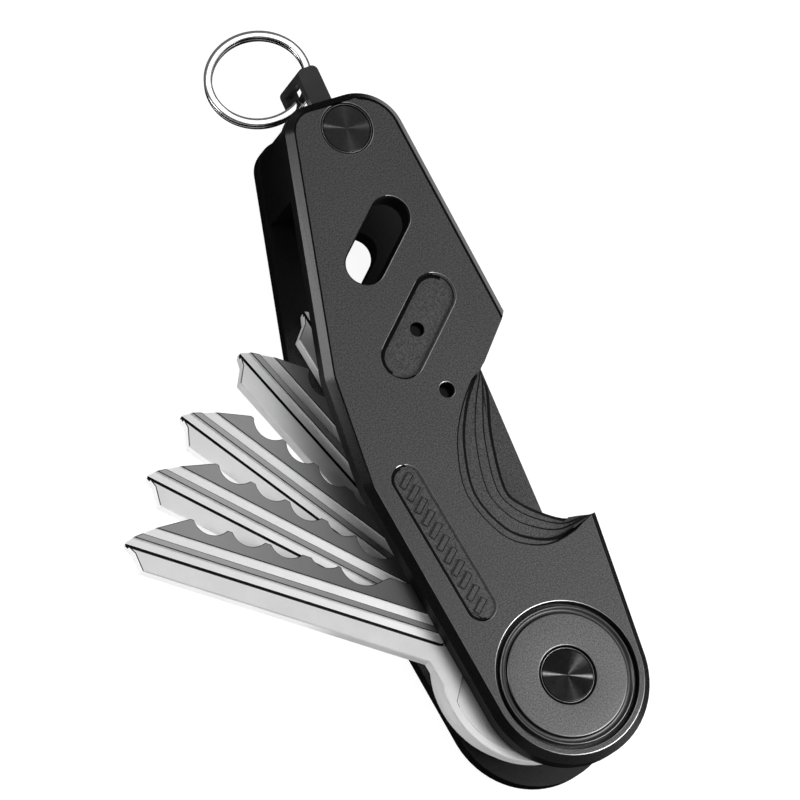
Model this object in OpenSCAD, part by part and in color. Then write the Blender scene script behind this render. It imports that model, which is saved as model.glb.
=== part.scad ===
// Folding key organiser. It lies on its back plate: +Z is up, out of the front plate.
// The origin is on the key pivot's axis, at the outer face of the back plate.
// +Y runs from the key pivot to the top screw, and +X points to the finger scoop.

/* [Handle] */
// Distance from the key pivot to the top screw
span = 74; // [74:0.5:78]
// Radius of the round end about the key pivot
end_r = 11; // [11:0.25:12]
// Thickness of each side plate
plate_t = 3; // [3:0.1:4]
// Chamfer round the outer edge of each plate
chamfer = 1; // [0.4:0.1:1.2]
// Depth of the finger scoop's lowest terrace
scoop_depth = 1.95; // [1.2:0.05:2.2]

/* [Window and pockets] */
// Width of the slanted window
slot_w = 5; // [4:0.25:6]
// Length of the slanted window
slot_l = 12.5; // [10:0.5:13]
// Lean of the window and of the pocket from the handle's length
slot_lean = 48; // [40:1:55]
// Depth of the pocket under the window
pocket_depth = 0.5; // [0.3:0.1:0.8]
// Ribs in the long label pocket
rib_count = 11; // [5:1:13]

/* [Keys] */
// Thickness of a key
key_t = 1.9; // [1.7:0.05:1.9]
// Reach of a key from the pivot to its nose
key_reach = 56.6; // [52:0.2:57]
// Radius of a key's bow
bow_r = 11.4; // [10.5:0.1:11.4]
// Angles of the five keys from the handle's length, from the back to the front
key_angles = [10, 21.5, 34, 44, 54];

/* [Hardware] */
// Diameter of the pivot barrel
pivot_d = 5; // [4.5:0.1:5]
// Diameter of the top barrel
top_d = 4.5; // [4:0.1:4.5]
// Diameter of the pivot barrel's head
head_d = 7; // [6.5:0.1:7]
// Diameter of the top barrel's head
top_head_d = 6.6; // [6.2:0.1:7]
// Diameter of the bezel round the pivot head
bezel_d = 17.4; // [16:0.2:17.6]
// Diameter of the two stop pins
pin_d = 1.9; // [1.5:0.1:2.2]
// Outer diameter of the split ring
ring_d = 13.9; // [13.8:0.1:14]
// Width of the bail's front leg
bail_w = 2.8; // [2:0.1:2.8]
// Width of the bail's back leg
back_leg_w = 1.9; // [1.7:0.1:2.8]
// Lean of the bail to the left
bail_lean = 3; // [0:0.5:3]

/* [Hidden] */
$fn = 72;
run_fit = 0.05;                          // radial clearance of whatever turns on a barrel
cut = 0.5;                               // how far a cutter runs past the surface it leaves

// Heights of the stack, from the floor up
key_count = len(key_angles);
key_washer_t = 0.1;
end_washer_t = 0.2;
key_pitch = 2 + key_washer_t;            // a key, its washer and their play
bay = key_count * key_pitch - key_washer_t + 3 * end_washer_t;
bay_low = plate_t;
bay_high = plate_t + bay;
face = bay_high + plate_t;
first_key = bay_low + 2 * end_washer_t + (2 - key_t) / 2;

// Handle outline: a disc at each round corner [x, y, r], and the two sharp points of the scoop
corner_discs = [[0, 0, end_r], [-7.5, 30.6, 8], [-6.95, 43.4, 8], [-3.86, span + 0.5, 4],
                [1.72, span - 1.5, 6]];
scoop_top = [10.85, 45.9];
scoop_low = [12, 18.1];
back_edge = [[10.5, 44.4], [11.05, 19]]; // the back plate's edge under the scoop
scoop_neck = [5.3, 40.2];
scoop_rim = [[3.1, 38.6], [0.1, 35.2], [-2.2, 30.9], [-3.3, 25.1], [-1.1, 19.3], [2.1, 16.8],
             [5.5, 16.2], [10.6, 17.5]];
scoop_mouth = [[5.55, 38.3], [5.3, 36.4], [3.7, 31.5], [2.7, 24.9], [3.8, 22.5], [5.9, 20.5],
               [8.3, 18.9], [10.2, 18.5]];
terraces = [[0, 0.18], [0.22, 0.59], [0.53, 0.79], [0.77, 1]]; // [place, share of the depth]
slot_at = [-1.8, 59.1];
pocket_at = [-1, 47.2];
pocket_size = [5.2, 14.8];
label_at = [-8.7, 20.4];
label_size = [3.6, 21.4];
label_lean = -9.5;
label_depth = 0.3;
pin_places = [[-0.7, 38.4], [-1.2, 46.9]];

// Barrels, heads and screws
seat_depth = 1.2;                        // seats of the heads and of the bezel in the front plate
seat = face - seat_depth;
head_play = 0.1;
bore_play = 0.02;                        // of a barrel in the plates
cap_t = 0.5;
cap_rim = 0.15;                          // of a head, round its cap
pivot_head_top = face - 0.15;
top_head_top = face - 0.05;
bezel_groove = 0.55;
screw_d = 3;
screw_head_d = 7;
screw_head_t = 1.2;
screw_washer_t = 0.2;
screw_seat = screw_head_t + screw_washer_t + 0.2;
thread_top = 9;
hex_d = 3.4;
washer_d = 9;
pin_sink = 1.3;

// Top spacer and bail
wall_x = -2.3;                           // side of the spacer's wall that the bail leans against
wall_low = span - 6;
spacer_inset = 0.3;
tongue_r = 3.3;
bail_t = 1.5;
bail_play = 1.15;                        // from a plate to the near leg, where a washer sits
bail_eye_r = 3.1;
bail_bridge = [8.9, 10.2];               // near and far side of the bridge, from the top screw
bail_left = -1.2;                        // side of the legs towards the spacer's wall
bridge_w = 1.35;                         // narrower than the legs, to clear the split ring
bail_corner = 0.8;
bail_low = bay_low + bail_play;
bail_high = bay_high - bail_play;
tongue_gap = 0.05;

// Split ring
ring_w = 1.1;
ring_t = 1.3;
ring_at = [-4.2, span + 12.25, 5.8];
ring_tilt = [-13.6, -12.8, 0];

// Keys, along u from the pivot to the nose and v towards the teeth
blade_low = -2.7;
blade_high = 5.5;
bow_at = 4;
shoulder_u = 24.6;
shoulder_v = 6.1;
first_peak = key_reach - 6.9;
tooth_pitch = 4.95;
tooth_r = 2.6;
bit_depths = [[1.0, 1.3, 1.1, 1.2], [1.3, 0.9, 1.2, 0.7], [1.2, 1.1, 1.0, 0.6],
              [1.2, 1.0, 1.2, 0.8], [1.2, 1.1, 1.0, 0.7]];
root_notch = [27.4, 3.4, 1.4];           // place, radius and depth of the notch by the shoulder
groove_end = 16;
front_grooves = [[-0.35, 1.1, 0.45], [-0.35, 0.1, 0.75], [1.9, 3.05, 0.3]]; // [from, to, depth]
back_grooves = [[-0.2, 1.4, 0.4]];
bow_rim = 1.1;
bow_recess = 0.15;

// ---- Shared shapes ----

module disc(r, low, high) {
    translate([0, 0, low]) cylinder(r = r, h = high - low);
}

module ring(r_in, r_out, low, high) {
    difference() {
        disc(r_out, low, high);
        disc(r_in, low - cut, high + cut);
    }
}

module at_top() {
    translate([0, span, 0]) children();
}

module slab(low, high) {
    translate([0, 0, low]) linear_extrude(high - low) children();
}

module pill(w, l) {
    square([w, l - w], center = true);
    for (side = [-1, 1]) translate([0, side * (l - w) / 2]) circle(d = w);
}

module leaning(place, lean) {
    translate(place) rotate(-lean) children();
}

// ---- Side plates ----

module handle_outline(inset = 0) {
    hull() {
        for (d = corner_discs) translate([d.x, d.y]) circle(r = d.z - inset);
        polygon([scoop_top, scoop_low, [0, 0]]);
    }
}

// A plate with its chamfer towards the face on the side of z = plate_t
module plate_blank() {
    hull() {
        linear_extrude(plate_t - chamfer) handle_outline();
        linear_extrude(plate_t) offset(delta = -chamfer) handle_outline();
    }
}

module slot_shape() {
    leaning(slot_at, slot_lean) pill(slot_w, slot_l);
}

module plate_bores(low) {
    slab(low - cut, low + plate_t + cut) {
        circle(d = pivot_d + 2 * bore_play);
        translate([0, span]) circle(d = top_d + 2 * bore_play);
        slot_shape();
        for (p = pin_places) translate(p) circle(d = pin_d);
    }
}

// Points of a smooth curve through the points p
function smooth(p) = [for (i = [0 : len(p) - 2], s = [0 : 0.25 : 0.75])
    let (a = p[max(i - 1, 0)], b = p[i], c = p[i + 1], d = p[min(i + 2, len(p) - 1)])
    b + s * ((c - a) / 2 + s * (a - 2.5 * b + 2 * c - d / 2 + s * (1.5 * (b - c) + (d - a) / 2)))];

// Area that a terrace of the scoop removes: t is 0 at the rim of the scoop and 1 at the opening
module scoop_area(t) {
    past = scoop_neck + 1.4 * (scoop_top - scoop_neck);
    edge = smooth(concat([scoop_neck], (1 - t) * scoop_rim + t * scoop_mouth));
    polygon(concat([past], edge, [scoop_low, [past.x, scoop_low.y]]));
}

module scoop() {
    for (s = terraces) slab(face - s[1] * scoop_depth, face + cut) scoop_area(s[0]);
    slab(bay_high - cut, face + cut) scoop_area(1);
}

module label_pocket() {
    rib_gap = (label_size.y - label_size.x) / (rib_count - 1);
    slab(face - label_depth, face + cut) leaning(label_at, label_lean) difference() {
        pill(label_size.x, label_size.y);
        for (i = [0 : rib_count - 1])
            translate([0, (i - (rib_count - 1) / 2) * rib_gap]) rotate(30)
                square([label_size.x - 1.4, rib_gap * 0.45], center = true);
    }
}

module front_plate() {
    color("#4c4c4c") difference() {
        translate([0, 0, bay_high]) plate_blank();
        plate_bores(bay_high);
        scoop();
        disc(bezel_d / 2 + bezel_groove, seat, face + cut);
        at_top() disc(top_head_d / 2 + run_fit, seat, face + cut);
        slab(face - pocket_depth, face + cut)
            leaning(pocket_at, slot_lean) pill(pocket_size.x, pocket_size.y);
        label_pocket();
    }
}

module back_plate() {
    color("#444444") difference() {
        translate([0, 0, plate_t]) mirror([0, 0, 1]) plate_blank();
        plate_bores(0);
        slab(-cut, plate_t + cut) polygon([scoop_top, back_edge[0], back_edge[1], scoop_low,
                                           scoop_low + [4, 0], scoop_top + [4, 0]]);
        for (y = [0, span])
            translate([0, y, 0]) disc(screw_head_d / 2 + head_play, -cut, screw_seat);
    }
}

// ---- Pivot and top fittings ----

module pivot_bezel() {
    rim = bezel_d / 2;
    dish = rim - 0.9;
    bore = head_d / 2 + head_play;
    color("#666666") rotate_extrude() polygon([
        [bore, seat], [rim, seat], [rim, face - 0.25], [rim - 0.15, face - 0.1],
        [rim - 0.35, face - 0.45], [dish + 0.1, face - 0.45], [dish, face - 0.1],
        [dish - 0.1, face], [bore + 0.15, face], [bore, face - 0.15]
    ]);
}

// Barrel with a cap seat in its head and a threaded hole from the back
module barrel(d, head, head_top) {
    difference() {
        union() {
            disc(d / 2, screw_seat, seat);
            disc(head / 2, seat, head_top);
        }
        disc(screw_d / 2, screw_seat - cut, thread_top + 1);
        disc(head / 2 - cap_rim, head_top - cap_t, head_top + cut);
    }
}

module pivot_post() {
    color("#3a3a3a") barrel(pivot_d, head_d, pivot_head_top);
}

module top_post() {
    color("#3a3a3a") at_top() barrel(top_d, top_head_d, top_head_top);
}

module cap(head, head_top) {
    disc(head / 2 - cap_rim, head_top - cap_t, head_top);
}

module pivot_cap() {
    color("#1c1c1c") cap(head_d, pivot_head_top);
}

module top_cap() {
    color("#2a2a2a") at_top() cap(top_head_d, top_head_top);
}

module stop_pins() {
    color("silver") for (p = pin_places)
        translate(p) disc(pin_d / 2, pin_sink, face - pin_sink);
}

module back_screws() {
    head_low = screw_seat - screw_washer_t - screw_head_t;
    color("#333333") for (y = [0, span]) translate([0, y, 0]) difference() {
        union() {
            disc(screw_head_d / 2, head_low, head_low + screw_head_t);
            disc(screw_d / 2, head_low, thread_top);
        }
        translate([0, 0, head_low - cut]) cylinder(d = hex_d, h = cut + 0.8, $fn = 6);
    }
}

module screw_washers() {
    color("silver") for (y = [0, span])
        translate([0, y, 0]) ring(screw_d / 2, screw_head_d / 2 - 0.2,
                                  screw_seat - screw_washer_t, screw_seat);
}

module wave_washer() {
    color("silver") ring(pivot_d / 2, washer_d / 2, bay_low, bay_low + end_washer_t);
}

module friction_washers() {
    color("ivory") for (low = [bay_low + end_washer_t, bay_high - end_washer_t])
        ring(pivot_d / 2, washer_d / 2, low, low + end_washer_t);
}

module key_washers() {
    first = bay_low + 2 * end_washer_t + 2;
    color("silver") for (i = [0 : key_count - 2])
        ring(pivot_d / 2, washer_d / 2, first + i * key_pitch, first + i * key_pitch + key_washer_t);
}

// ---- Keys ----

module blade_outline(bits) {
    nose = key_reach;
    difference() {
        polygon([[0, blade_low], [nose - 2.9, blade_low], [nose - 1.4, -0.8], [nose - 0.1, -0.15],
                 [nose, 0.2], [nose - 0.7, 1.1], [nose - 3, 3], [first_peak, blade_high],
                 [shoulder_u, blade_high], [shoulder_u - 0.8, shoulder_v], [0, shoulder_v]]);
        for (i = [0 : len(bits) - 1])
            translate([first_peak - (i + 0.53) * tooth_pitch, blade_high - bits[i] + tooth_r])
                circle(r = tooth_r);
        translate([root_notch[0], blade_high - root_notch[2] + root_notch[1]])
            circle(r = root_notch[1]);
    }
}

module key_outline(bits) {
    difference() {
        union() {
            blade_outline(bits);
            translate([bow_at, 0]) circle(r = bow_r);
            polygon([[12, -7.2], [16.6, blade_low], [16.6, 3], [12, 3]]);
        }
        circle(d = pivot_d + 2 * run_fit);
    }
}

// Milled grooves in one face, given by that face's height
module grooves(list, low, high) {
    for (g = list) slab(low == undef ? high - g[2] : low - cut, high == undef ? low + g[2] : high + cut)
        polygon([[groove_end, g[0]], [key_reach + 2, g[0]], [key_reach + 2, g[1]],
                 [groove_end - 0.8, g[1]], [groove_end - 0.8, (g[0] + g[1]) / 2]]);
}

module bow_recess(low, high) {
    slab(low, high) difference() {
        translate([bow_at, 0]) circle(r = bow_r - bow_rim);
        translate([bow_at + 8, -bow_r]) square(2 * bow_r);
        circle(d = washer_d + 1.4);
    }
}

// Key number k, counted from the back plate, turned to its place in the fan
module key(k) {
    low = first_key + (k - 1) * key_pitch;
    high = low + key_t;
    rotate(90 + key_angles[k - 1]) mirror([0, 1, 0]) difference() {
        slab(low, high) key_outline(bit_depths[k - 1]);
        grooves(front_grooves, undef, high);
        grooves(back_grooves, low, undef);
        bow_recess(high - bow_recess, high + cut);
        bow_recess(low - cut, low + bow_recess);
    }
}

module key_1() {
    color("#b8b8b8") key(1);
}

module key_2() {
    color("#c8c8c8") key(2);
}

module key_3() {
    color("#d0d0d0") key(3);
}

module key_4() {
    color("#d8d8d8") key(4);
}

module key_5() {
    color("#e0e0e0") key(5);
}

// ---- Top spacer, bail and split ring ----

module top_spacer() {
    color("#1a1a1a") difference() {
        union() {
            slab(bay_low, bay_high) intersection() {
                handle_outline(spacer_inset);
                translate([-20, wall_low]) square([20 + wall_x, 20]);
            }
            slab(bail_low + bail_t + tongue_gap, bail_high - bail_t - tongue_gap) {
                translate([0, span]) circle(r = tongue_r);
                translate([wall_x - 1, span - tongue_r]) square([1 - wall_x, 2 * tongue_r]);
            }
        }
        at_top() {
            disc(top_d / 2, -cut, face);
            disc(bail_eye_r + 0.3, bay_low - cut, bail_low + bail_t + tongue_gap);
            disc(bail_eye_r + 0.3, bail_high - bail_t - tongue_gap, bay_high + cut);
        }
    }
}

module leg_outline(low, width) {
    right = bail_left + width;
    far = bail_bridge[1];
    corner = [for (a = [0 : 15 : 90]) [right, far] + bail_corner * [cos(a) - 1, sin(a) - 1]];
    mirrored = [for (i = [len(corner) - 1 : -1 : 0]) [bail_left + right - corner[i].x, corner[i].y]];
    polygon(concat([[bail_left, low], [right, low]], corner, mirrored));
}

module bail() {
    color("#242424") at_top() rotate(bail_lean) difference() {
        union() {
            for (leg = [[bail_low, back_leg_w], [bail_high - bail_t, bail_w]])
                slab(leg[0], leg[0] + bail_t) {
                    circle(r = bail_eye_r);
                    leg_outline(0, leg[1]);
                }
            slab(bail_low, bail_high) intersection() {
                leg_outline(bail_bridge[0], bail_w);
                translate([bail_left, 0]) square([bridge_w, bail_bridge[1]]);
            }
        }
        disc(top_d / 2 + run_fit, 0, face);
    }
}

module bail_washers() {
    t = bail_play - tongue_gap;
    color("silver") at_top() for (low = [bay_low, bay_high - t])
        ring(top_d / 2, bail_eye_r, low, low + t);
}

module split_ring() {
    r = ring_d / 2;
    half = ring_t / 2;
    seam = 0.08;
    color("#d8dcdf") translate(ring_at) rotate(ring_tilt) rotate_extrude() polygon([
        [r - ring_w, -half + 0.2], [r - ring_w + 0.2, -half], [r - 0.2, -half], [r, -half + 0.2],
        [r, -seam], [r - seam, 0], [r, seam], [r, half - 0.2], [r - 0.2, half],
        [r - ring_w + 0.2, half], [r - ring_w, half - 0.2]
    ]);
}

front_plate();
back_plate();
pivot_bezel();
pivot_post();
pivot_cap();
top_post();
top_cap();
top_spacer();
stop_pins();
back_screws();
screw_washers();
wave_washer();
friction_washers();
key_washers();
key_1();
key_2();
key_3();
key_4();
key_5();
bail();
bail_washers();
split_ring();
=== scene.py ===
import math

import bmesh
import bpy
from mathutils import Euler, Matrix, Vector


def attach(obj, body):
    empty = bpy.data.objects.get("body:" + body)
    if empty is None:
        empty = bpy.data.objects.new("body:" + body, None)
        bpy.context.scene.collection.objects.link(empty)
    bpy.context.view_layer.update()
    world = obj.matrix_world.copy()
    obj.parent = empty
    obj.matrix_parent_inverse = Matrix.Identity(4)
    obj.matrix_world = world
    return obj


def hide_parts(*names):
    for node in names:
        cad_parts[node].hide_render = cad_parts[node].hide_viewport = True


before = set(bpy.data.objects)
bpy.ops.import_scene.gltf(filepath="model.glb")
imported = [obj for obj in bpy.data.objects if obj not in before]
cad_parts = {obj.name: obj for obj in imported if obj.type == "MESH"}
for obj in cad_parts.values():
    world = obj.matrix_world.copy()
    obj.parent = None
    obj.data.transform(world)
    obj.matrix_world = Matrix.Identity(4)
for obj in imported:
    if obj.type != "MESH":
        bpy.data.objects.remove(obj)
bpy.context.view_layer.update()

# Lengths are in millimetres and turned into metres by MM
MM = 0.001
SPAN = 74.0        # from the key pivot to the top screw
FACE = 17.0        # the front plate's outer face
HEAD_LOW = 15.8    # the underside of the bezel and of the posts' heads
KEY_ANGLES = [10, 21.5, 34, 44, 54]
KEY_PITCH = 2.1
KEY_LOW = [3.45 + KEY_PITCH * i for i in range(len(KEY_ANGLES))]
KEY_T = 1.9
BLADE_FROM = 15.2  # where a key's bow ends and its blade starts
SPINE = -2.5       # the blade's back edge lies beyond this
# Painted shade: the keys' colour darkens towards the handle, as if shaded by it
PAINTED_SHADE_FROM, PAINTED_SHADE_TO = 24, 50  # keys get darker towards the handle between these distances from the pivot
RING_AT = Vector((-4.2, SPAN + 12.25, 5.8))
RING_TURN = Euler((math.radians(-13.6), math.radians(-12.8), 0))
SHARP = math.radians(28)
bpy.context.scene.view_settings.view_transform = "Standard"


# ---- Materials ----

class Shader:
    """A node material under construction."""

    def __init__(self, name, **sockets):
        self.material = bpy.data.materials.new(name)
        self.material.use_nodes = True
        self.tree = self.material.node_tree
        self.bsdf = self.tree.nodes["Principled BSDF"]
        self.coords = self.node("ShaderNodeTexCoord").outputs["Object"]
        for socket, value in sockets.items():
            self.bsdf.inputs[socket.replace("_", " ")].default_value = value

    def node(self, kind, **values):
        made = self.tree.nodes.new(kind)
        for key, value in values.items():
            if hasattr(made, key):
                setattr(made, key, value)
            else:
                made.inputs[key.replace("_", " ")].default_value = value
        return made

    def link(self, a, b):
        self.tree.links.new(a, b)

    def stretched(self, scale):
        mapping = self.node("ShaderNodeMapping")
        mapping.inputs["Scale"].default_value = scale
        self.link(self.coords, mapping.inputs["Vector"])
        return mapping.outputs["Vector"]

    def noise(self, size_mm, detail=2.0, rough=0.5, at=None):
        made = self.node("ShaderNodeTexNoise", Scale=1 / (size_mm * MM), Detail=detail, Roughness=rough)
        self.link(at or self.coords, made.inputs["Vector"])
        return made.outputs["Fac"]

    def ramp(self, fac, *stops):
        made = self.node("ShaderNodeValToRGB")
        band = made.color_ramp
        while len(band.elements) < len(stops):
            band.elements.new(0.5)
        for element, (place, value) in zip(band.elements, stops):
            element.position = place
            shade = value if hasattr(value, "__len__") else (value, value, value)
            element.color = (*shade, 1)
        self.link(fac, made.inputs["Fac"])
        return made.outputs["Color"]

    def mix(self, share, a, b, mode="MIX"):
        """Colour a with its share of colour b laid over it."""
        made = self.node("ShaderNodeMix", data_type="RGBA", blend_type=mode)
        made.inputs[0].default_value = share
        self.link(a, made.inputs[6])
        self.link(b, made.inputs[7])
        return made.outputs[2]

    def bump(self, height, strength, distance_mm, below=None):
        made = self.node("ShaderNodeBump", Strength=strength, Distance=distance_mm * MM)
        self.link(height, made.inputs["Height"])
        if below:
            self.link(below, made.inputs["Normal"])
        return made.outputs["Normal"]

    def done(self, color=None, roughness=None, normal=None):
        for source, socket in ((color, "Base Color"), (roughness, "Roughness"), (normal, "Normal")):
            if source:
                self.link(source, self.bsdf.inputs[socket])
        return self.material


def blasted(name, shade, rough=0.46, specular=0.5, grain=1.0, painted_shade_by_height=()):
    """Bead-blasted, anodised aluminium; the last argument lists painted shade along the handle, as its share
    of the shade at heights y in mm.
    """
    s = Shader(name, Specular_IOR_Level=specular)
    fine, coarse, cloud = s.noise(0.09, 1), s.noise(0.2, 2, 0.6), s.noise(9, 3, 0.6)
    speck = s.mix(0.5, fine, coarse)
    color = s.ramp(speck, (0.41, shade * (1 - 0.5 * grain)), (0.6, shade * (1 + 0.6 * grain)))
    color = s.mix(1.0, color, s.ramp(cloud, (0.3, 0.97), (0.7, 1.03)), "MULTIPLY")
    # Painted shade: the colour darkens by height along the handle
    if painted_shade_by_height:
        split, span = s.node("ShaderNodeSeparateXYZ"), s.node("ShaderNodeMapRange")
        s.link(s.coords, split.inputs["Vector"])
        s.link(split.outputs["Y"], span.inputs["Value"])
        span.inputs["From Max"].default_value = SPAN * MM
        share = s.ramp(span.outputs["Result"], *[(y / SPAN, part) for y, part in painted_shade_by_height])
        color = s.mix(1.0, color, share, "MULTIPLY")
    roughness = s.ramp(coarse, (0.3, rough - 0.05), (0.7, rough + 0.08))
    normal = s.bump(coarse, 0.35 * grain, 0.03, s.bump(fine, 0.3 * grain, 0.02))
    return s.done(color, roughness, normal)


def polished_black(name, shade, rough=0.2, specular=0.5):
    """Machined and anodised edge: smooth, with fine tool lines."""
    s = Shader(name, Specular_IOR_Level=specular)
    lines = s.noise(0.12, 2, 0.5, s.stretched((1, 1, 6)))
    cloud = s.noise(3.0, 3, 0.6)
    color = s.ramp(cloud, (0.3, shade * 0.8), (0.7, shade * 1.25))
    roughness = s.ramp(lines, (0.3, rough - 0.05), (0.7, rough + 0.08))
    return s.done(color, roughness, s.bump(lines, 0.12, 0.012))


def spun(name, centre_y, shade, painted_wedges, rough=0.3):
    """Face turned on a lathe, with painted highlights: fans of light in its colour, each (angle, half width,
    shade).
    """
    s = Shader(name, Metallic=1.0, Anisotropic=0.6)
    s.link(s.node("ShaderNodeTangent", direction_type="RADIAL", axis="Z").outputs["Tangent"],
           s.bsdf.inputs["Tangent"])
    mapping = s.node("ShaderNodeMapping")
    mapping.inputs["Location"].default_value = (0, -centre_y * MM, 0)
    s.link(s.coords, mapping.inputs["Vector"])
    around = s.node("ShaderNodeTexGradient", gradient_type="RADIAL")
    s.link(mapping.outputs["Vector"], around.inputs["Vector"])
    stops = []
    for angle, half, bright in painted_wedges:
        stops += [((angle + turn) / 360 + 0.5, tone) for turn, tone in
                  ((-2.2 * half, shade), (-half, bright * 0.3 + shade * 0.7), (0, bright),
                   (half, bright * 0.3 + shade * 0.7), (2.2 * half, shade))]
    # Painted highlights: the fans of light are painted into the base colour around the cap's centre
    painted_fan_color = s.ramp(around.outputs["Fac"], *sorted(stops))
    cloud = s.noise(0.5, 3, 0.6)
    color = s.mix(1.0, painted_fan_color, s.ramp(cloud, (0.3, 0.8), (0.7, 1.15)), "MULTIPLY")
    return s.done(color, s.ramp(cloud, (0.3, rough - 0.03), (0.7, rough + 0.05)))


def bright_metal(name, shade, rough, scratch=0.3, cloud_mm=4.0, metallic=1.0, inner=None):
    """Plated metal with soft clouding and scratches along the piece.

    inner is painted shade towards the pivot, under the handle: its share of the shade at the inner end of
    that shade.
    """
    s = Shader(name, Metallic=metallic)
    lines = s.noise(0.25, 3, 0.6, s.stretched((1, 0.04, 1)))
    cloud = s.noise(cloud_mm, 4, 0.6)
    low, high = shade * 0.93, shade * 1.04
    color = s.ramp(cloud, (0.3, low), (0.7, high))
    color = s.mix(scratch, color, s.ramp(lines, (0.35, low), (0.6, high)))
    # Painted shade, darker towards the pivot
    if inner:
        reach = s.node("ShaderNodeVectorMath", operation="LENGTH")
        s.link(s.coords, reach.inputs[0])
        span = s.node("ShaderNodeMapRange")
        span.inputs["From Min"].default_value = PAINTED_SHADE_FROM * MM
        span.inputs["From Max"].default_value = PAINTED_SHADE_TO * MM
        s.link(reach.outputs["Value"], span.inputs["Value"])
        color = s.mix(1.0, color, s.ramp(span.outputs["Result"], (0.0, inner), (1.0, 1.0)), "MULTIPLY")
    roughness = s.mix(0.5, s.ramp(lines, (0.3, rough * 0.75), (0.7, rough * 1.35)),
                      s.ramp(cloud, (0.3, rough * 0.85), (0.7, rough * 1.2)))
    return s.done(color, roughness, s.bump(lines, scratch * 0.35, 0.01))


# ---- Mesh helpers ----

def mesh_of(name, bm):
    mesh = bpy.data.meshes.new(name)
    bm.to_mesh(mesh)
    bm.free()
    return mesh


def placed(name, data):
    obj = bpy.data.objects.new(name, data)
    bpy.context.scene.collection.objects.link(obj)
    return obj


def finish(name, mesh, node, body, slot, materials):
    """Makes the mesh a shown piece that rides on a body and stands for the CAD node."""
    obj = placed(name, mesh)
    for material in materials:
        mesh.materials.append(material)
    for polygon in mesh.polygons:
        polygon.use_smooth = True
    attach(obj, body)
    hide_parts(node)
    return obj


def add_bevel(obj, width_mm, segments, angle):
    bevel = obj.modifiers.new("edges", "BEVEL")
    bevel.width = width_mm * MM
    bevel.segments = segments
    bevel.limit_method = "ANGLE"
    bevel.angle_limit = math.radians(angle)
    bevel.miter_outer = "MITER_ARC"
    bevel.harden_normals = False
    normals = obj.modifiers.new("normals", "WEIGHTED_NORMAL")
    normals.weight = 60
    normals.keep_sharp = False
    return obj


def remade(node, body, slot, materials, rule=None, width=0.08, segments=2, angle=25, cut=None, lines=None):
    """A piece on the CAD node's shape, with clean faces, rounded edges and a material for each face.

    cut is a plane to split the faces at, and lines draws the edges itself, with no rounding after it.
    """
    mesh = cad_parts[node].data.copy()
    mesh.materials.clear()
    bm = bmesh.new()
    bm.from_mesh(mesh)
    bmesh.ops.remove_doubles(bm, verts=bm.verts, dist=3e-6)
    bmesh.ops.dissolve_limit(bm, angle_limit=math.radians(0.8), verts=bm.verts, edges=bm.edges)
    if cut:
        place, way = cut
        bmesh.ops.bisect_plane(bm, geom=[*bm.verts, *bm.edges, *bm.faces], dist=1e-7, plane_co=place * MM,
                               plane_no=way)
    bmesh.ops.recalc_face_normals(bm, faces=bm.faces)
    for f in bm.faces:
        f.material_index = rule(f.calc_center_median() / MM, f.normal) if rule else 0
    if lines:
        lines(bm)
        for edge_made in bm.edges:
            same = len({f.material_index for f in edge_made.link_faces}) == 1
            edge_made.smooth = same and edge_made.calc_face_angle(0) < SHARP
    bm.to_mesh(mesh)
    bm.free()
    stale = ["custom_normal"] if lines else ["custom_normal", "sharp_edge"]
    for name in [a.name for a in mesh.attributes if a.name in stale]:
        mesh.attributes.remove(mesh.attributes[name])
    made = finish(node + "_made", mesh, node, body, slot, materials)
    return made if lines else add_bevel(made, width, segments, angle)


def revolve(name, profile, at, node, slot, materials, steps=160, closed=True):
    """A turned piece of the handle: the profile is a list of (radius, height, material) in mm."""
    bm = bmesh.new()
    rings = []
    for r, z, _ in profile:
        turns = [2 * math.pi * i / steps for i in range(steps if r > 0 else 1)]
        rings.append([bm.verts.new(Vector((at[0] + r * math.cos(t), at[1] + r * math.sin(t), z)) * MM)
                      for t in turns])
    pairs = list(zip(rings, rings[1:] + rings[:1])) if closed else list(zip(rings, rings[1:]))
    for (_, _, material), (a, b) in zip(profile, pairs):
        for i in range(steps):
            j = (i + 1) % steps
            corners = [a[i % len(a)], a[j % len(a)], b[j % len(b)], b[i % len(b)]]
            unique = list(dict.fromkeys(corners))
            if len(unique) > 2:
                bm.faces.new(unique).material_index = material
    bmesh.ops.recalc_face_normals(bm, faces=bm.faces)
    return finish(name, mesh_of(name, bm), node, "handle", slot, materials)


# ---- Side plates ----

face_black = blasted("face_black", 0.078, 0.5, 0.25)
edge_black = polished_black("edge_black", 0.005, 0.24, 0.4)
wall_black = polished_black("wall_black", 0.004, 0.4, 0.15)
line_black = polished_black("line_black", 0.002, 0.5, 0.1)
rim_bright = bright_metal("rim_bright", 0.42, 0.35, scratch=0.2)
rim_dim = bright_metal("rim_dim", 0.2, 0.35, scratch=0.2)
# The back plate's inner face: the face's grey, with painted shade darkening it towards both ends
inner_face_painted_shade = blasted("inner_face_painted_shade", 0.078, 0.5, 0.2, 1.0, ((2, 0.1), (14, 1), (46, 1), (55, 0.1)))
PLATE_MATERIALS = [face_black, edge_black, wall_black, line_black, rim_bright, inner_face_painted_shade]
FLAT, CHAMFER, WALL, LINE, RIM, INNER = range(6)
# The scoop's terraces from the front face down: height, line width, and how far the line runs to the right;
# each line is painted shade at a step's edge
TERRACE_SHADE_LINES = [(FACE, 0.24, 10.0), (16.65, 0.52, 8.6), (15.85, 0.24, 10.0), (15.46, 0.26, 9.6),
                 (15.05, 0.6, 8.8)]
SCOOP_LOW, SCOOP_HIGH = 15.9, 39.6   # where the scoop's terraces start and end along the handle
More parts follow.
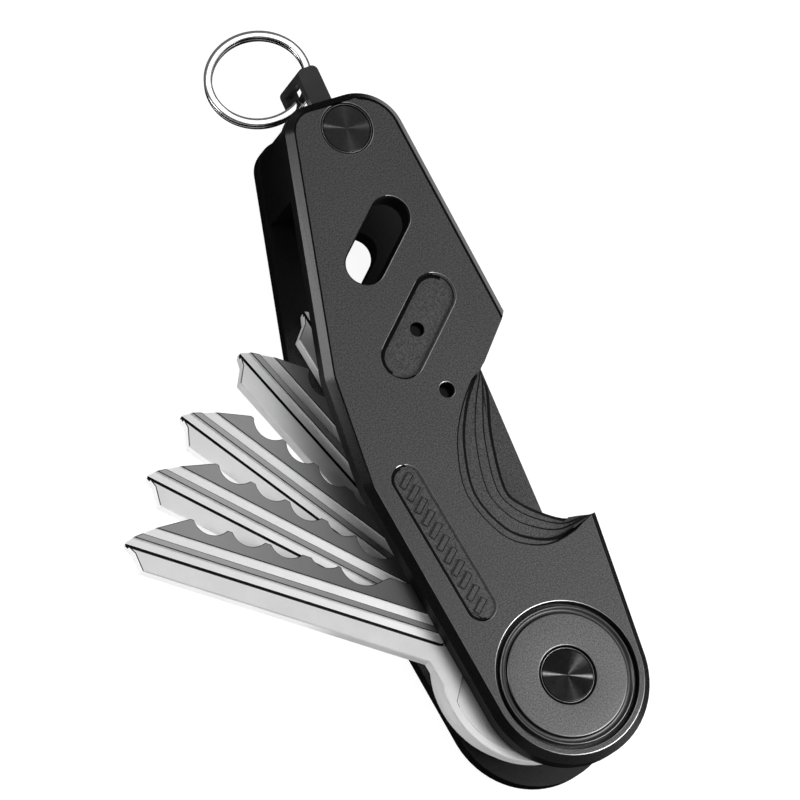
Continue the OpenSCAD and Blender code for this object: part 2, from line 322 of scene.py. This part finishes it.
# Middles and leans of the front plate's openings, as in the CAD
POCKET = ((-1, 47.2), 48)
SLOT = ((-1.8, 59.1), 48)
LABEL = ((-8.7, 20.4), -9.5)
RIBS_SIZE = (1.3, 9.85)
LOW_PIN = (-0.7, 38.4)
# Each pocket's depth, place, the half sizes of what is inside its floor's border, and the width of its
# painted shadow line
POCKETS = [(0.5, POCKET, (1.6, 6.0), 0.38), (0.3, LABEL, RIBS_SIZE, 0.27)]
TOP = FACE - 0.1   # edges above this height belong to the front face
# Painted shade: the outline's dark line runs only on the upper part of the plate
UPPER_FROM = 33    # the outline has its dark line beyond this


def plate_rule(outer):
    """The material of each face of a plate whose outer face looks along outer (1 or -1)."""
    def rule(_, normal):
        if abs(normal.z) > 0.9:
            return FLAT if normal.z * outer > 0 else INNER
        return CHAMFER if normal.z * outer > 0.3 else WALL
    return rule


def outline(bm, edges, width, material):
    """Cuts a small chamfer along the edges, which shows as a line of the given material."""
    if edges:
        bmesh.ops.bevel(bm, geom=edges, offset=width * MM, offset_type="OFFSET", segments=1, profile=0.5,
                        affect="EDGES", clamp_overlap=False, material=material)


def edges_between(bm, first, second, outer):
    """Edges from an outward face of one material to a lower face of another, each with its middle in mm."""
    found = []
    for edge in bm.edges:
        faces = {f.material_index: f for f in edge.link_faces}
        if len(faces) == 2 and first in faces and second in faces and faces[first].normal.z * outer > 0.5:
            middle = (edge.verts[0].co + edge.verts[1].co) / 2
            if (faces[second].calc_center_median().z - middle.z) * outer < 0:
                found.append((edge, middle / MM))
    return found


def seen_from(m, opening):
    """A point's distances across and along a leaning opening, from its middle."""
    (x0, y0), lean = opening
    turn = math.radians(lean)
    x, y = m.x - x0, m.y - y0
    return x * math.cos(turn) - y * math.sin(turn), x * math.sin(turn) + y * math.cos(turn)


def within(m, opening, half_w, half_l):
    across, along = seen_from(m, opening)
    return abs(across) < half_w and abs(along) < half_l


def in_pocket(m):
    return within(m, POCKET, 2.8, 7.6) or within(m, LABEL, 2, 10.9)


def in_ribs(m):
    return within(m, LABEL, *RIBS_SIZE)


def in_slot(m):
    return within(m, SLOT, 2.7, 6.5)


def in_scoop(m):
    if math.dist(m.xy, LOW_PIN) < 1.3:
        return False
    neck = SCOOP_HIGH <= m.y < 47 and m.x > 4.8
    return neck or (SCOOP_LOW < m.y < SCOOP_HIGH and m.x > -3.8)


def face_edges(bm, second, chosen):
    """Edges in the front face that it shares with a lower face of another material."""
    return [e for e, m in edges_between(bm, FLAT, second, 1) if m.z > TOP and chosen(m)]


def pocket_floor_shadows(bm):
    """Painted shadow: a dark line on each pocket's floor, along the wall on its left."""
    for depth, opening, inside, width in POCKETS:
        floors = [f for f in bm.faces if in_pocket(f.calc_center_median() / MM) and f.normal.z > 0.9
                  and abs(f.calc_center_median().z - (FACE - depth) * MM) < 0.02 * MM]
        border = bmesh.ops.inset_region(bm, faces=floors, thickness=width * MM, use_boundary=True,
                                        use_even_offset=True)["faces"]
        for f in border:
            m = f.calc_center_median() / MM
            if seen_from(m, opening)[0] < 0 and not within(m, opening, *inside):
                f.material_index = LINE


def front_lines(bm):
    """The lines of the front plate: pocket floors, terraces, every opening's border and the outline, with
    painted shade on the floors, the terraces and the shaded side of the openings, and painted highlights on
    their lit side.
    """
    pocket_floor_shadows(bm)
    # Painted shade: dark lines along the terraces' edges
    for level, width, reach in TERRACE_SHADE_LINES:
        outline(bm, [e for e, m in edges_between(bm, FLAT, WALL, 1) if abs(m.z - level) < 0.04
                     and in_scoop(m) and m.x < reach and m.y < SCOOP_HIGH - 0.4], width, LINE)
    for width, chosen in ((0.12, in_ribs), (0.24, in_pocket), (0.2, in_slot),
                          (0.12, lambda m: not in_scoop(m))):
        outline(bm, face_edges(bm, WALL, chosen), width, LINE)
    outline(bm, face_edges(bm, LINE, lambda m: not in_scoop(m) and not in_pocket(m) and not in_slot(m)),
            0.05, RIM)
    # Painted highlight and shade: the bright hairline goes only on the side of each opening whose chamfer
    # faces left, towards the light, and there the pockets' chamfers take the face's grey; on the other side
    # they stay dark
    borders = face_edges(bm, LINE, lambda m: in_slot(m) or (in_pocket(m) and not in_ribs(m)))
    outline(bm, [e for e in borders if any(f.material_index == LINE and f.normal.x < -0.1
                                           for f in e.link_faces)], 0.05, RIM)
    for f in bm.faces:
        faces_left = f.normal.x < -0.2
        if f.material_index == LINE and faces_left and in_pocket(f.calc_center_median() / MM):
            f.material_index = FLAT
    edge_lines(bm, 1)


def edge_lines(bm, outer):
    """The bright hairline between a plate's face and its chamfer, with a dark line inside it further up,
    which is painted shade: thin on the left, thicker on the right.
    """
    def upper(right):
        border = edges_between(bm, FLAT, CHAMFER, outer)
        return [e for e, m in border if m.y > UPPER_FROM and (m.x > 2 if right else m.x < 2)]

    outline(bm, upper(right=False), 0.12, LINE)
    outline(bm, upper(right=True), 0.24, LINE)
    outline(bm, [e for e, m in edges_between(bm, FLAT, CHAMFER, outer)], 0.06, RIM)


def back_lines(bm):
    outline(bm, [e for e, m in edges_between(bm, FLAT, WALL, -1) if m.z < 0.1], 0.09, RIM)
    edge_lines(bm, -1)


remade("front_plate", "handle", "plate_black", PLATE_MATERIALS, plate_rule(1), lines=front_lines)
remade("back_plate", "handle", "plate_black", PLATE_MATERIALS, plate_rule(-1), lines=back_lines)

# ---- Pivot bezel, posts and caps ----

bezel_face = blasted("bezel_face", 0.115, 0.48, 0.35)
bezel_turned = polished_black("bezel_turned", 0.03, 0.3, 0.7)
BLAST, TURNED, SHINE, SHADE = range(4)
bezel_profile = [
    (3.6, HEAD_LOW, TURNED), (8.7, HEAD_LOW, TURNED), (8.7, 16.76, SHINE), (8.67, 16.86, SHINE),
    (8.58, 16.88, TURNED), (8.5, 16.82, TURNED), (8.36, 16.6, TURNED), (8.18, 16.53, TURNED),
    (8.02, 16.55, TURNED), (7.9, 16.62, SHADE), (7.84, 16.74, SHADE), (7.8, 16.9, SHINE),
    (7.73, 16.98, SHINE), (7.64, FACE, BLAST), (3.86, FACE, SHINE), (3.76, 16.98, SHADE),
    (3.64, 16.88, SHADE), (3.6, 16.78, SHADE)]
revolve("pivot_bezel_made", bezel_profile, (0, 0), "pivot_bezel", "bezel_grey",
        [bezel_face, bezel_turned, rim_dim, line_black])

post_black = polished_black("post_black", 0.012, 0.25, 0.5)
CAP_RIM = 0.15
CAP_T = 0.5
CAP_PITCH = 0.125
POST_LOW = 1.6
THREAD_R = 1.5
THREAD_TOP = 10


def post_profile(d, head, top):
    """A barrel with a threaded hole from below, and a head with a seat for its cap."""
    r, rim, inner, seat = d / 2, head / 2, head / 2 - CAP_RIM, top - CAP_T
    return [(THREAD_R, POST_LOW, 0), (r, POST_LOW, 0), (r, HEAD_LOW, 0), (rim, HEAD_LOW, 0),
            (rim, top - 0.09, 1), (rim - 0.03, top - 0.02, 1), (rim - 0.06, top, 1), (inner + 0.03, top, 0),
            (inner + 0.01, top - 0.03, 0), (inner, top - 0.1, 0), (inner, seat, 0), (0.6, seat, 0),
            (0.6, THREAD_TOP, 0), (THREAD_R, THREAD_TOP, 0)]


def cap_profile(reach, top):
    """A disc whose face has fine turned grooves."""
    low, groove, ridge, rim = top - CAP_T, top - 0.012, top - 0.001, top - 0.06
    face = []
    for i in range(int((reach - 0.04) / CAP_PITCH), 0, -1):
        face += [(i * CAP_PITCH, groove, 0), ((i - 0.5) * CAP_PITCH, ridge, 0)]
    return [(0.0, low, 0), (reach, low, 0), (reach, rim, 0), *face, (0.0, groove, 0)]


# Painted highlights on each cap: fans of light in its colour, with angle, half width and shade
PIVOT_PAINTED_FANS = [(-22, 3.5, 0.4), (158, 3.5, 0.4), (32, 13, 0.07), (-92, 12, 0.05)]
TOP_PAINTED_FANS = [(157, 4, 0.2), (-8, 8, 0.1), (76, 16, 0.05), (-98, 14, 0.06)]
for name, d, head, top, y, shade, fans in (("pivot", 5.0, 7.0, FACE - 0.15, 0, 0.012, PIVOT_PAINTED_FANS),
                                           ("top", 4.5, 6.6, FACE - 0.05, SPAN, 0.03, TOP_PAINTED_FANS)):
    revolve(name + "_post_made", post_profile(d, head, top), (0, y), name + "_post", "steel_black",
            [post_black, rim_dim], 120)
    revolve(name + "_cap_made", cap_profile(head / 2 - CAP_RIM - 0.01, top), (0, y), name + "_cap",
            "cap_spun", [spun(name + "_cap_spun", y, shade, fans)], 144, closed=False)

# ---- Screws, washers and pins ----

steel = bright_metal("steel", 0.56, 0.28)
screw_black = polished_black("screw_black", 0.035, 0.3, 0.6)
nylon_shader = Shader("nylon")
nylon_color = nylon_shader.ramp(nylon_shader.noise(1.2, 3),
                                (0.3, (0.5, 0.49, 0.44)), (0.7, (0.6, 0.59, 0.54)))
nylon_rough = nylon_shader.ramp(nylon_shader.noise(0.3, 2), (0.3, 0.45), (0.7, 0.6))
nylon = nylon_shader.done(nylon_color, nylon_rough)
dark_steel = bright_metal("dark_steel", 0.012, 0.25)
for node, slot, material, width in (("back_screws", "steel_black", screw_black, 0.12),
                                    ("screw_washers", "steel", steel, 0.03),
                                    ("wave_washer", "steel", steel, 0.03),
                                    ("friction_washers", "nylon", nylon, 0.03),
                                    ("key_washers", "steel", steel, 0.02),
                                    ("bail_washers", "steel", steel, 0.08)):
    remade(node, "handle", slot, [material], width=width)
remade("stop_pins", "handle", "steel", [dark_steel], width=0.2, segments=3)

# ---- Keys ----

# Painted light and shade: these are lit and shaded copies of one nickel plating, and inner darkens them
# towards the pivot
key_light = bright_metal("key_light", 0.88, 0.36, scratch=0.12, metallic=0.45, inner=0.8)
key_bright = bright_metal("key_bright", 0.97, 0.36, scratch=0.1, metallic=0.4)
key_mid = bright_metal("key_mid", 0.45, 0.36, scratch=0.2, metallic=0.5, inner=0.45)
key_dark = bright_metal("key_dark", 0.34, 0.38, scratch=0.2, metallic=0.5, inner=0.2)
key_line = polished_black("key_line", 0.004, 0.5, 0.2)
key_edge = polished_black("key_edge", 0.012, 0.45, 0.2)
KEY_MATERIALS = [key_light, key_bright, key_mid, key_dark, key_line, key_edge]
LIGHT, BRIGHT, MID, DARK, GROOVE_SHADOW, EDGE = range(6)
# The groove's black is a painted shadow, and the band towards the bits is painted shade
GROOVE_V = (-0.5, 0.25)   # across the blade, where its black groove is
BITS_V = 3.0              # and from where its dark band towards the bits starts


def key_ways(number):
    """A key's ways along its blade and across it."""
    angle = math.radians(KEY_ANGLES[number - 1])
    return Vector((-math.sin(angle), math.cos(angle), 0)), Vector((math.cos(angle), math.sin(angle), 0))


def key_rule(number):
    """The material of each face, as painted light and shade on one plating: dark towards the bits, light
    towards the back, bright on upright walls, and a painted shadow in the groove.
    """
    u_way, v_way = key_ways(number)
    high = KEY_LOW[number - 1] + KEY_T

    def rule(centre, normal):
        u, v = centre.dot(u_way), centre.dot(v_way)
        upright = abs(normal.z) < 0.5
        if u < BLADE_FROM or normal.z < -0.5:
            return BRIGHT if upright else LIGHT
        if GROOVE_V[0] < v < GROOVE_V[1] and high - 0.9 < centre.z < high - 0.1:
            return GROOVE_SHADOW
        if upright or centre.z < high - 0.05:
            return BRIGHT
        return DARK if v > BITS_V else MID if v > GROOVE_V[1] + 0.25 else LIGHT
    return rule


def key_lines(number):
    """Painted lines along the edges of the top face: a painted highlight at the spine and painted dark
    outlines elsewhere, and a chamfer round the bottom.
    """
    low = KEY_LOW[number - 1]
    v_way = key_ways(number)[1]

    def lines(bm):
        def top_edges():
            return [e for e in bm.edges if e.calc_face_angle(0) > 1
                    and min(v.co.z for v in e.verts) > (low + KEY_T - 0.02) * MM]

        spine = [e for e in top_edges() if max(v.co.dot(v_way) for v in e.verts) < SPINE * MM]
        outline(bm, spine, 0.12, BRIGHT)
        outline(bm, top_edges(), 0.1, EDGE)
        bottom = [e for e in bm.edges if e.calc_face_angle(0) > 1
                  and max(v.co.z for v in e.verts) < (low + 0.02) * MM]
        outline(bm, bottom, 0.08, LIGHT)
    return lines


for number in range(1, len(KEY_ANGLES) + 1):
    u_way = key_ways(number)[0]
    remade(f"key_{number}", f"key_{number}", "key_nickel", KEY_MATERIALS, key_rule(number),
           cut=(u_way * BLADE_FROM, u_way), lines=key_lines(number))

# ---- Top spacer and bail ----

spacer_black = polished_black("spacer_black", 0.003, 0.4, 0.2)
bail_black = polished_black("bail_black", 0.028, 0.36, 0.5)
remade("top_spacer", "handle", "spacer_black", [spacer_black], width=0.15)
remade("bail", "bail", "bail_black", [bail_black], width=0.22, segments=3, angle=30)

# ---- Split ring: two coils of flat wire, with a short ramp from one to the other ----

chrome = bright_metal("chrome", 0.9, 0.07, scratch=0.1, cloud_mm=2.0)
RING_R = 6.4
COIL_T = 0.6
COIL_W = 1.06
COIL_EDGE = 0.17   # radius of the wire's rounded edges
COIL_GAP = 0.04    # between the two coils
COIL_STEPS = 260
RAMP = math.radians(30)
RAMP_AT = math.radians(-24.5)
END_GAP = math.radians(1.5)
section = []
for cx, cz, start in ((1, 1, 0), (-1, 1, 90), (-1, -1, 180), (1, -1, 270)):
    for step in range(4):
        t = math.radians(start + step * 30)
        section.append((cx * (COIL_W / 2 - COIL_EDGE) + COIL_EDGE * math.cos(t),
                        cz * (COIL_T / 2 - COIL_EDGE) + COIL_EDGE * math.sin(t)))


def coil_height(t):
    """Height of the wire's middle after turning by t: a smooth step from the lower coil to the upper one."""
    level = (COIL_T + COIL_GAP) / 2
    start = 2 * math.pi - RAMP
    share = min(1.0, max(0.0, (t - start) / RAMP))
    return -level + 2 * level * share * share * (3 - 2 * share)


bm = bmesh.new()
rings = []
end = 4 * math.pi - RAMP - END_GAP
for i in range(COIL_STEPS + 1):
    t = end * i / COIL_STEPS
    out = Vector((math.cos(t + RAMP_AT), math.sin(t + RAMP_AT), 0))
    rings.append([bm.verts.new((out * (RING_R + w) + Vector((0, 0, coil_height(t) + h))) * MM)
                  for w, h in section])
for a, b in zip(rings, rings[1:]):
    for i in range(len(section)):
        j = (i + 1) % len(section)
        bm.faces.new((a[i], a[j], b[j], b[i]))
for cap_ring in (rings[0], rings[-1]):
    bm.faces.new(cap_ring)
bmesh.ops.recalc_face_normals(bm, faces=bm.faces)
coils_mesh = mesh_of("split_ring_coils", bm)
coils_mesh.transform(Matrix.Translation(RING_AT * MM) @ RING_TURN.to_matrix().to_4x4())
coils = finish("split_ring_coils", coils_mesh, "split_ring", "split_ring", "ring_nickel", [chrome])
add_bevel(coils, 0.05, 2, 60)

# ---- Floor, lights and camera ----

bm = bmesh.new()
bmesh.ops.create_grid(bm, x_segments=8, y_segments=8, size=3.0)
floor = placed("floor", mesh_of("floor", bm))
floor.location = (0, 0, -0.2 * MM)
white = Shader("floor_white", Roughness=0.8, Specular_IOR_Level=0.1)
white.bsdf.inputs["Emission Color"].default_value = (1, 1, 1, 1)
white.bsdf.inputs["Emission Strength"].default_value = 0.93
floor.data.materials.append(white.done(white.ramp(white.noise(40, 2), (0.3, 0.3), (0.7, 0.32))))

# Black cards beside the handle, which only its polished edges see
CARD_Z = -0.1
LYING_CARDS = [(-27, -45, 90, 46), (-27, 46, 18, 100), (-200, 100, 200, 450)]
UPRIGHT_CARD = [(-350, -300, 0), (-350, 120, 0), (-350, 120, 400), (-350, -300, 400)]
bm = bmesh.new()
lying = [[(x0, y0, CARD_Z), (x1, y0, CARD_Z), (x1, y1, CARD_Z), (x0, y1, CARD_Z)]
         for x0, y0, x1, y1 in LYING_CARDS]
for corners in (*lying, UPRIGHT_CARD):
    bm.faces.new([bm.verts.new(Vector(corner) * MM) for corner in corners])
card = placed("black_card", mesh_of("black_card", bm))
card.data.materials.append(polished_black("card_black", 0.004, 0.9, 0.05))
card.visible_camera = card.visible_diffuse = card.visible_shadow = card.visible_transmission = False


def area_light(name, place, target, size, radiance, size_y=None):
    """A lamp of that size and brightness, which points at the target; lengths in metres."""
    light = bpy.data.lights.new(name, "AREA")
    light.shape = "RECTANGLE"
    light.size = size
    light.size_y = size_y or size
    light.energy = radiance * math.pi * light.size * light.size_y
    made = placed(name, light)
    made.visible_camera = False
    made.location = place
    made.rotation_euler = (Vector(target) - Vector(place)).to_track_quat("-Z", "Y").to_euler()


MIDDLE = (-0.008, 0.04, 0.008)
area_light("overhead", (0.18, 0.04, 0.5), MIDDLE, 0.42, 0.9)
area_light("lower_box", (0.05, -0.045, 0.09), (0, 0.005, 0.017), 0.07, 6.6)
area_light("left_strip", (-0.42, 0.26, 0.18), MIDDLE, 0.14, 7, 0.2)
area_light("ring_box", (-0.01, 0.38, 0.42), (-0.004, 0.086, 0.006), 0.18, 1.4)

world = bpy.data.worlds.new("soft_white")
world.use_nodes = True
world.node_tree.nodes["Background"].inputs["Color"].default_value = (1, 1, 1, 1)
world.node_tree.nodes["Background"].inputs["Strength"].default_value = 0.14
bpy.context.scene.world = world

# The camera was fitted to the plates' outline, the screws, the slot and the pockets
CAMERA_AT = Vector((-0.2123, -0.0535, 0.5223))
VIEW = Vector((0.371, 0.1672, -0.9134)).normalized()
UP = Vector((0.2873, 0.9147, 0.2842)).normalized()
camera_data = bpy.data.cameras.new("camera")
camera_data.lens = 201.84
camera_data.sensor_width = 36
camera_data.clip_start = 0.01
camera = placed("camera", camera_data)
right = VIEW.cross(UP).normalized()
turn = Matrix((right, right.cross(VIEW), -VIEW)).transposed()
camera.matrix_world = Matrix.Translation(CAMERA_AT) @ turn.to_4x4()
bpy.context.scene.camera = camera
